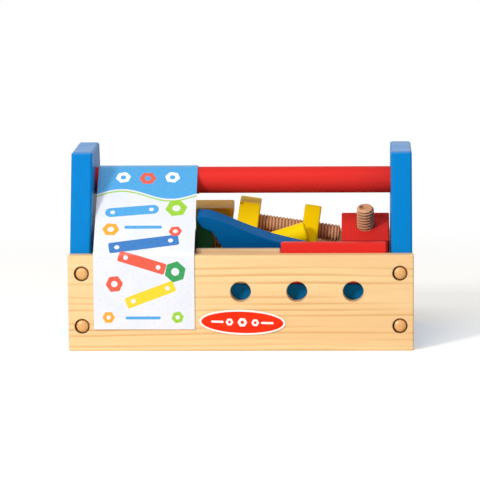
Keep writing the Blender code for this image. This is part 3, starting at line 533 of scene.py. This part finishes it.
def badge_print(name, middle):
    """Red oval label with a white border and a plain row of nuts between two bars."""
    finish, wire = new_finish(name)
    x, _, z = wire.split(wire.vector("SUBTRACT", wire.object_place(), tuple(middle)))
    askew = wire.node("ShaderNodeVectorRotate", rotation_type="Z_AXIS",
                      named={"Vector": wire.join(x, z, 0.0), "Angle": BADGE_TURN}).outputs[0]
    place = wire.stretch(askew, MILLIMETRES, MILLIMETRES, 0.0)
    across, up, _ = wire.split(place)
    oval = wire.length(wire.over(across, BADGE_FIELD_WIDTH / 2), wire.over(up, BADGE_FIELD_HEIGHT / 2))
    red = wire.ramp(wire.noise(place, 0.12, 2.0), 0.35, 0.65)
    red = wire.blend(red, paint_mix(243, 50, 14), paint_mix(238, 42, 10))
    white = paint_mix(242, 240, 236)
    ink = wire.blend(wire.ramp(oval, 0.99, 1.01), red, white)
    hole_share = 0.42
    for left, size in ((-9.5, 2.5), (0.0, 3.1), (9.5, 2.5)):
        mask = use(wire, PRINTED_NUT, place=place, middle_x=left, middle_y=0.0, turn=0.0, size=size,
                   hole=size * hole_share)["Mask"]
        ink = wire.blend(mask, ink, white)
    for left in (-18.4, 18.4):
        mask = use(wire, PRINTED_BAR, place=place, middle_x=left, middle_y=0.0, turn=0.0, half_length=4.6,
                   half_width=0.8, corner=0.78, hole=0.0, hole_reach=OFF_THE_BAR)["Mask"]
        ink = wire.blend(mask, ink, white)
    dust = wire.noise(place, 0.8, 3.0)
    rough = wire.ramp(dust, 0.3, 0.7, 0.24, 0.34)
    finish_surface(wire, ink, rough, dust, depth=0.00002, edge_width=0.0002, specular_ior_level=0.1)
    return finish


# Pieces

def put_on(node_names, finish):
    """Gives carried-over nodes their finish."""
    for name in node_names:
        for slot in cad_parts[name].material_slots:
            slot.material = finish


def finished_piece(name, mesh, body, replaced):
    """Stands a mesh in for the nodes it replaces, riding on their body."""
    piece = bpy.data.objects.new(name, mesh)
    bpy.context.scene.collection.objects.link(piece)
    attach(piece, body)
    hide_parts(*replaced)


def store_number(wire, geometry, name, value):
    """Keeps a number for each point of a geometry under a name."""
    return wire.node("GeometryNodeStoreNamedAttribute", data_type="FLOAT", domain="POINT",
                     named={"Geometry": geometry, "Name": name, "Value": value}).outputs[0]


def stored_number(wire, name):
    return wire.node("GeometryNodeInputNamedAttribute", data_type="FLOAT", named={"Name": name}).outputs[0]


def wooden_thread_tree(finish):
    """A rod from Start to End with a rounded thread cut into it; it stores how deep the cut is."""
    tree = bpy.data.node_groups.new("wooden_thread", "GeometryNodeTree")
    sizes = (("Start", "NodeSocketVector", (0, 0, 0)), ("End", "NodeSocketVector", (0, 0, 0.05)),
             ("Radius", "NodeSocketFloat", THREAD_RADIUS), ("Pitch", "NodeSocketFloat", PITCH),
             ("Cut", "NodeSocketFloat", THREAD_CUT), ("Turned end", "NodeSocketFloat", TURNED_END),
             ("Rings", "NodeSocketInt", 200), ("Sides", "NodeSocketInt", THREAD_SIDES))
    for label, kind, start in sizes:
        tree.interface.new_socket(name=label, in_out="INPUT", socket_type=kind).default_value = start
    tree.interface.new_socket(name="Geometry", in_out="OUTPUT", socket_type="NodeSocketGeometry")
    wire = Wiring(tree)
    size = wire.node("NodeGroupInput").outputs
    line = wire.node("GeometryNodeCurvePrimitiveLine", named={"Start": size["Start"], "End": size["End"]})
    line = wire.node("GeometryNodeResampleCurve", named={"Curve": line.outputs[0], "Count": size["Rings"]})
    run = wire.node("GeometryNodeSplineParameter").outputs["Length"]
    line = store_number(wire, line.outputs[0], "along", run)
    ring = wire.node("GeometryNodeCurvePrimitiveCircle",
                     named={"Resolution": size["Sides"], "Radius": size["Radius"]})
    share = wire.node("GeometryNodeSplineParameter").outputs["Factor"]
    ring = store_number(wire, ring.outputs[0], "round", share)
    rod = wire.node("GeometryNodeCurveToMesh",
                    named={"Curve": line, "Profile Curve": ring, "Fill Caps": True}).outputs[0]
    along = stored_number(wire, "along")
    turns = wire.minus(wire.over(along, size["Pitch"]), stored_number(wire, "round"))
    saw = wire.unsigned(wire.minus(wire.times(wire.math("FRACT", turns), 2.0), 1.0))
    groove = wire.math("POWER", saw, THREAD_SHARPNESS)
    left = wire.minus(wire.vector("DISTANCE", size["Start"], size["End"]), along)
    turned_end = size["Turned end"]
    easing = wire.over(wire.larger(wire.minus(turned_end, left), 0.0), turned_end)
    inward = wire.plus(wire.times(groove, size["Cut"]), wire.times(wire.times(easing, easing), turned_end))
    axis = wire.vector("NORMALIZE", wire.vector("SUBTRACT", size["End"], size["Start"]))
    arm = wire.vector("SUBTRACT", wire.node("GeometryNodeInputPosition").outputs[0], size["Start"])
    on_axis = wire.scaled(axis, wire.vector("DOT_PRODUCT", arm, axis))
    out = wire.vector("NORMALIZE", wire.vector("SUBTRACT", arm, on_axis))
    move = wire.scaled(out, wire.times(inward, -1.0))
    rod = wire.node("GeometryNodeSetPosition", named={"Geometry": rod, "Offset": move}).outputs[0]
    rod = store_number(wire, rod, "groove", groove)
    rod = wire.node("GeometryNodeRealizeInstances", (rod,)).outputs[0]
    rod = wire.node("GeometryNodeSetMaterial", named={"Geometry": rod, "Material": finish}).outputs[0]
    wire.node("NodeGroupOutput", (rod,))
    return tree


def grown_mesh(tree, name, values):
    """The plain mesh that a tree makes with these values."""
    carrier = bpy.data.objects.new(f"{name}_carrier", bpy.data.meshes.new(f"{name}_carrier"))
    bpy.context.scene.collection.objects.link(carrier)
    modifier = carrier.modifiers.new("grow", "NODES")
    modifier.node_group = tree
    sockets = {item.name: item.identifier for item in tree.interface.items_tree if item.in_out == "INPUT"}
    for label, value in values.items():
        modifier[sockets[label]] = value
    evaluated = carrier.evaluated_get(bpy.context.evaluated_depsgraph_get())
    mesh = bpy.data.meshes.new_from_object(evaluated)
    mesh.name = name
    bpy.data.objects.remove(carrier)
    tidy = bmesh.new()
    tidy.from_mesh(mesh)
    bmesh.ops.recalc_face_normals(tidy, faces=tidy.faces)
    for face in tidy.faces:
        is_cap = len(face.verts) != 4
        face.smooth = not is_cap
    tidy.to_mesh(mesh)
    tidy.free()
    return mesh


def corners_of(name):
    """A node's corners, each once, although its triangles are loose."""
    places = (vertex.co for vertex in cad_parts[name].data.vertices)
    return list({tuple(round(value, 6) for value in place): place.copy() for place in places}.values())


def middle_of(points):
    return sum(points, Vector()) / len(points)


def bolt_threads(finish):
    """The three bolts' threads, each from its head to its tip as the plain rods in the frame lie."""
    tree = wooden_thread_tree(finish)
    for colour in ("yellow", "red", "green"):
        rod = corners_of(f"{colour}_bolt_thread")
        middle = middle_of(rod)
        axis = (middle - middle_of(corners_of(f"{colour}_bolt_head"))).normalized()
        reach = [(point - middle).dot(axis) for point in rod]
        start, end = middle + axis * min(reach), middle + axis * max(reach)
        rings = round((end - start).length / PITCH * RINGS_PER_TURN)
        name = f"{colour}_cut_thread"
        mesh = grown_mesh(tree, name, {"Start": tuple(start), "End": tuple(end), "Rings": rings})
        finished_piece(name, mesh, f"{colour}_bolt", [f"{colour}_bolt_thread"])


def on_wrap(angle):
    """The place on the card's inner side round the handle, in Y and Z."""
    return Vector((CARD_WRAP * math.cos(angle), HANDLE_HEIGHT + CARD_WRAP * math.sin(angle)))


def card_way():
    """Places in Y and Z from the card's foot to the end of its tab, with a rounded fold and a slight bow."""
    rise = HANDLE_HEIGHT - CARD_RIM
    reach = math.hypot(CARD_FRONT, rise)
    start = math.atan2(rise, -CARD_FRONT) + math.asin(CARD_WRAP / reach) + math.pi / 2
    foot, rim, touch = Vector((CARD_FRONT, CARD_FOOT)), Vector((CARD_FRONT, CARD_RIM)), on_wrap(start)
    slope = (touch - rim).normalized()
    outward = Vector((-slope.y, slope.x))
    before_rim, past_rim = rim - Vector((0.0, CARD_FOLD)), rim + slope * CARD_FOLD
    way = [foot + (rim - foot) * step / FRONT_STEPS for step in range(FRONT_STEPS)]
    for step in range(FOLD_STEPS + 1):
        share = step / FOLD_STEPS
        way.append(before_rim.lerp(rim, share).lerp(rim.lerp(past_rim, share), share))
    for step in range(1, SLOPE_STEPS):
        share = step / SLOPE_STEPS
        way.append(past_rim + (touch - past_rim) * share + outward * CARD_BOW * math.sin(math.pi * share))
    for step in range(WRAP_STEPS + 1):
        way.append(on_wrap(start - start * step / WRAP_STEPS))
    for step in range(1, TAB_STEPS + 1):
        way.append(Vector((CARD_WRAP, HANDLE_HEIGHT - CARD_TAB * step / TAB_STEPS)))
    return way


def outer_side(inner):
    """The card's outer side, its thickness away from the inner one."""
    outer = []
    for index, point in enumerate(inner):
        run = (inner[min(index + 1, len(inner) - 1)] - inner[max(index - 1, 0)]).normalized()
        outer.append(point + Vector((-run.y, run.x)) * CARD_THICKNESS)
    return outer


def card_sheet(shape, inner, outer):
    """The card's closed shell in a bmesh: its two faces, its two sides and its two ends."""
    width = CARD_RIGHT - CARD_LEFT
    front, back = ([[shape.verts.new((CARD_LEFT + width * column / CARD_COLUMNS, y, z))
                     for column in range(CARD_COLUMNS + 1)] for y, z in side] for side in (outer, inner))
    last = len(inner) - 1
    for row in range(last):
        for column in range(CARD_COLUMNS):
            for side in (front, back):
                shape.faces.new((side[row][column], side[row][column + 1],
                                 side[row + 1][column + 1], side[row + 1][column]))
        for column in (0, CARD_COLUMNS):
            shape.faces.new((front[row][column], front[row + 1][column],
                             back[row + 1][column], back[row][column]))
    for row in (0, last):
        for column in range(CARD_COLUMNS):
            shape.faces.new((front[row][column], front[row][column + 1],
                             back[row][column + 1], back[row][column]))
    bmesh.ops.recalc_face_normals(shape, faces=shape.faces)


def printed_card(finish):
    """The folded card, printed on its outer side, with the print's UV map."""
    inner = card_way()
    outer = outer_side(inner)
    travelled = [0.0]
    for before, after in zip(outer, outer[1:]):
        travelled.append(travelled[-1] + (after - before).length)
    shape = bmesh.new()
    card_sheet(shape, inner, outer)
    shape.verts.index_update()
    print_map = shape.loops.layers.uv.new("print")
    count = CARD_COLUMNS + 1
    for face in shape.faces:
        face.smooth = True
        for loop in face.loops:
            row, column = divmod(loop.vert.index % (len(inner) * count), count)
            loop[print_map].uv = (column / CARD_COLUMNS, travelled[row] * MILLIMETRES / PRINT_LENGTH)
    mesh = bpy.data.meshes.new("printed_card")
    shape.to_mesh(mesh)
    shape.free()
    printed = mesh.attributes.new("printed", "FLOAT", "POINT")
    half = len(inner) * count
    printed.data.foreach_set("value", [1.0] * half + [0.0] * half)
    mesh.set_sharp_from_angle(angle=SHARP_EDGE)
    mesh.materials.append(finish)
    finished_piece("printed_card", mesh, "card", ["card"])


# Studio

WHITE = (1.0, 1.0, 1.0, 1.0)
FLOOR_REACH = 6.0
FLOOR_LIFT = 0.34
FLOOR_FADE_START, FLOOR_FADE_END = 0.26, 0.60
ROOM_LEVEL = 0.345
LAMP_AIM = Vector((0.0, 0.0, 0.06))


def looked_at(wire):
    """1 for what the camera, a gloss or a glass sees, and 0 for light that falls on things."""
    path = wire.node("ShaderNodeLightPath").outputs
    mirrored = wire.larger(path["Is Glossy Ray"], path["Is Transmission Ray"])
    return wire.larger(path["Is Camera Ray"], mirrored)


def pale_floor():
    """White paper under the box that runs out into a white room and keeps the soft shadow."""
    finish, wire = new_finish("white_paper")
    place = wire.object_place()
    fibre = wire.ramp(wire.noise(place, 700.0, 3.0), 0.3, 0.7)
    body = wire.blend(fibre, paint_mix(241, 239, 234), paint_mix(244, 242, 237))
    paper = wire.node("ShaderNodeBsdfDiffuse", (body,)).outputs[0]
    glow = wire.node("ShaderNodeEmission", (WHITE, FLOOR_LIFT)).outputs[0]
    white = wire.node("ShaderNodeEmission", (WHITE, 1.0)).outputs[0]
    lifted = wire.node("ShaderNodeAddShader", (paper, glow)).outputs[0]
    away = wire.ramp(wire.vector("LENGTH", place), FLOOR_FADE_START, FLOOR_FADE_END)
    faded = wire.node("ShaderNodeMixShader", (away, lifted, white)).outputs[0]
    shown = wire.node("ShaderNodeMixShader", (looked_at(wire), paper, faded)).outputs[0]
    wire.node("ShaderNodeOutputMaterial", (shown,))
    mesh = bpy.data.meshes.new("floor")
    corners = [(x * FLOOR_REACH, y * FLOOR_REACH, 0.0) for x, y in ((-1, -1), (1, -1), (1, 1), (-1, 1))]
    mesh.from_pydata(corners, [], [(0, 1, 2, 3)])
    mesh.materials.append(finish)
    floor = bpy.data.objects.new("floor", mesh)
    bpy.context.scene.collection.objects.link(floor)


def white_room():
    """Even light from all round; white where the camera or a gloss looks at it."""
    room = bpy.data.worlds.new("white_room")
    bpy.context.scene.world = room
    room.use_nodes = True
    room.node_tree.nodes.clear()
    wire = Wiring(room.node_tree)
    light = wire.node("ShaderNodeBackground", (WHITE, ROOM_LEVEL)).outputs[0]
    white = wire.node("ShaderNodeBackground", (WHITE, 1.0)).outputs[0]
    both = wire.node("ShaderNodeMixShader", (looked_at(wire), light, white)).outputs[0]
    wire.node("ShaderNodeOutputWorld", (both,))


def soft_lamp(name, place, size, watts):
    """A round lamp that looks at the middle of the box."""
    lamp = bpy.data.lights.new(name, "AREA")
    lamp.shape, lamp.size, lamp.energy = "DISK", size, watts
    made = bpy.data.objects.new(name, lamp)
    made.location = place
    made.rotation_euler = (LAMP_AIM - Vector(place)).to_track_quat("-Z", "Y").to_euler()
    bpy.context.scene.collection.objects.link(made)


def studio_camera():
    """The photograph's view: from the front, a little to the right and above, held slightly askew."""
    aim, far = Vector((-0.0027, 0.0, 0.0725)), 2.409
    raised, turned, askew = math.radians(8.41), math.radians(2.14), math.radians(0.45)
    back = Vector((math.sin(turned) * math.cos(raised), -math.cos(turned) * math.cos(raised),
                   math.sin(raised)))
    lens = bpy.data.cameras.new("studio_camera")
    lens.sensor_width, lens.lens = 36.0, 238.69
    lens.clip_start, lens.clip_end = 0.1, 40.0
    camera = bpy.data.objects.new("studio_camera", lens)
    camera.location = aim + back * far
    level = (-back).to_track_quat("-Z", "Y")
    camera.rotation_euler = (level @ Quaternion((0.0, 0.0, 1.0), -askew)).to_euler()
    bpy.context.scene.collection.objects.link(camera)
    bpy.context.scene.camera = camera


# The tool box

UPRIGHT = (0.0, math.radians(90), 0.0)
ALONG_WRENCH = (0.0, math.radians(14.4), 0.0)
ALONG_HAMMER = (0.0, math.radians(-17.4), 0.0)
ALONG_YELLOW_BOLT = (0.0, math.radians(8.3), 0.0)
DOWNWARD = (0.0, math.radians(-90), 0.0)
ACROSS = (0.0, 0.0, math.radians(90))
# The blue bar's colour is a darker blue as painted shade, for the bar that stands in shade behind the front
# panel.
BLUE, WRENCH_BLUE, SHADED_BAR_BLUE = paint_mix(0, 124, 197), paint_mix(0, 96, 159), paint_mix(0, 108, 174)
RED, BOLT_RED, GREEN = paint_mix(222, 47, 41), paint_mix(222, 46, 40), paint_mix(48, 118, 76)
# The yellow bar's colour is the yellow darkened into painted shade: the handle's shadow that falls on that
# bar.
YELLOW, SHADED_BAR_YELLOW = paint_mix(255, 213, 0), paint_mix(208, 150, 22)
POST_TOP_SHEEN = 1.0


def on_long_panels(kind):
    """The names of one kind of node that each long panel has four of."""
    return [f"{kind}_{side}_{number}" for side in ("front", "back") for number in range(1, 5)]


def finish_the_box():
    put_on(["front_panel"], clear_pine("front_pine"))
    put_on(["back_panel"], clear_pine("back_pine", shift=(0.3, 0.1, 0.02), heart=(-0.02, 0.16)))
    put_on(["bottom_board"],
           clear_pine("board_pine", shift=(0.7, 0.0, 0.0), heart=(0.02, -0.09), tone=(0.94, 0.91, 0.86)))
    put_on(on_long_panels("plug"), plug_pine("plug_pine"))
    put_on(on_long_panels("screw"), zinc("zinc"))
    put_on(["left_end_panel"],
           lacquer("left_post_blue", BLUE, UPRIGHT, (0.1, 0.2, 0.0), top_sheen=POST_TOP_SHEEN))
    put_on(["right_end_panel"],
           lacquer("right_post_blue", BLUE, UPRIGHT, (0.4, 0.1, 0.0), top_sheen=POST_TOP_SHEEN))
    put_on(["handle_dowel"], lacquer("handle_red", RED, shift=(0.2, 0.03, 0.02), spacing=0.004))
    low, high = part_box("badge")
    put_on(["badge"], badge_print("badge_label", (low + high) / 2))


def finish_the_bars():
    bars = (("blue_bar", "bar_blue_painted_shade", SHADED_BAR_BLUE, 0.15), ("red_bar", "bar_red", RED, 0.55),
            ("yellow_bar", "bar_yellow_painted_shade", SHADED_BAR_YELLOW, 0.9), ("wrench_slat", "slat_blue", BLUE, 1.3),
            ("flat_slat", "slat_red", RED, 1.7))
    for node, name, colour, shift in bars:
        put_on([node], lacquer(name, colour, shift=(shift, 0.0, 0.0)))
    put_on(["natural_bar", "middle_slat", "back_slat"],
           clear_pine("bar_pine", shift=(1.1, 0.0, 0.0), spacing=0.0045, tone=(0.76, 0.78, 0.92)))


def finish_the_tools():
    put_on(["wrench"], lacquer("wrench_blue", WRENCH_BLUE, ALONG_WRENCH, (0.6, 0.0, 0.0)))
    put_on(["hammer_handle"], lacquer("hammer_yellow", YELLOW, ALONG_HAMMER, (0.2, 0.0, 0.0)))
    put_on(["hammer_head"], clear_pine("hammer_pine", ACROSS, (0.1, 0.0, 0.0), spacing=0.004,
                                       heart=(0.03, -0.05)))
    put_on(["screwdriver_handle"], lacquer("driver_red", RED, shift=(0.8, 0.02, 0.02), spacing=0.004))
    put_on(["screwdriver_shaft"], clear_pine("driver_pine", shift=(0.4, 0.0, 0.0), spacing=0.003))


def finish_the_bolts():
    put_on(["yellow_bolt_head", "yellow_nut"],
           lacquer("bolt_yellow", YELLOW, ALONG_YELLOW_BOLT, (0.5, 0.01, 0.0), spacing=0.004))
    put_on(["red_bolt_head", "red_nut"],
           lacquer("bolt_red", BOLT_RED, DOWNWARD, (0.5, 0.0, 0.01), spacing=0.004))
    put_on(["green_bolt_head", "green_nut"],
           lacquer("bolt_green", GREEN, shift=(0.5, 0.0, 0.01), spacing=0.004))
    bolt_threads(cut_thread("cut_hardwood"))


finish_the_box()
finish_the_bars()
finish_the_tools()
finish_the_bolts()
printed_card(card_print("glossy_card"))
pale_floor()
white_room()
soft_lamp("key_lamp", (-0.92, -1.38, 0.92), size=0.30, watts=17.5)
soft_lamp("top_lamp", (-0.30, -0.95, 1.65), size=1.1, watts=11.8)
soft_lamp("fill_lamp", (1.1, -1.3, 0.7), size=1.0, watts=2.0)
studio_camera()
bpy.context.scene.view_settings.view_transform = "Standard"
bpy.context.view_layer.update()
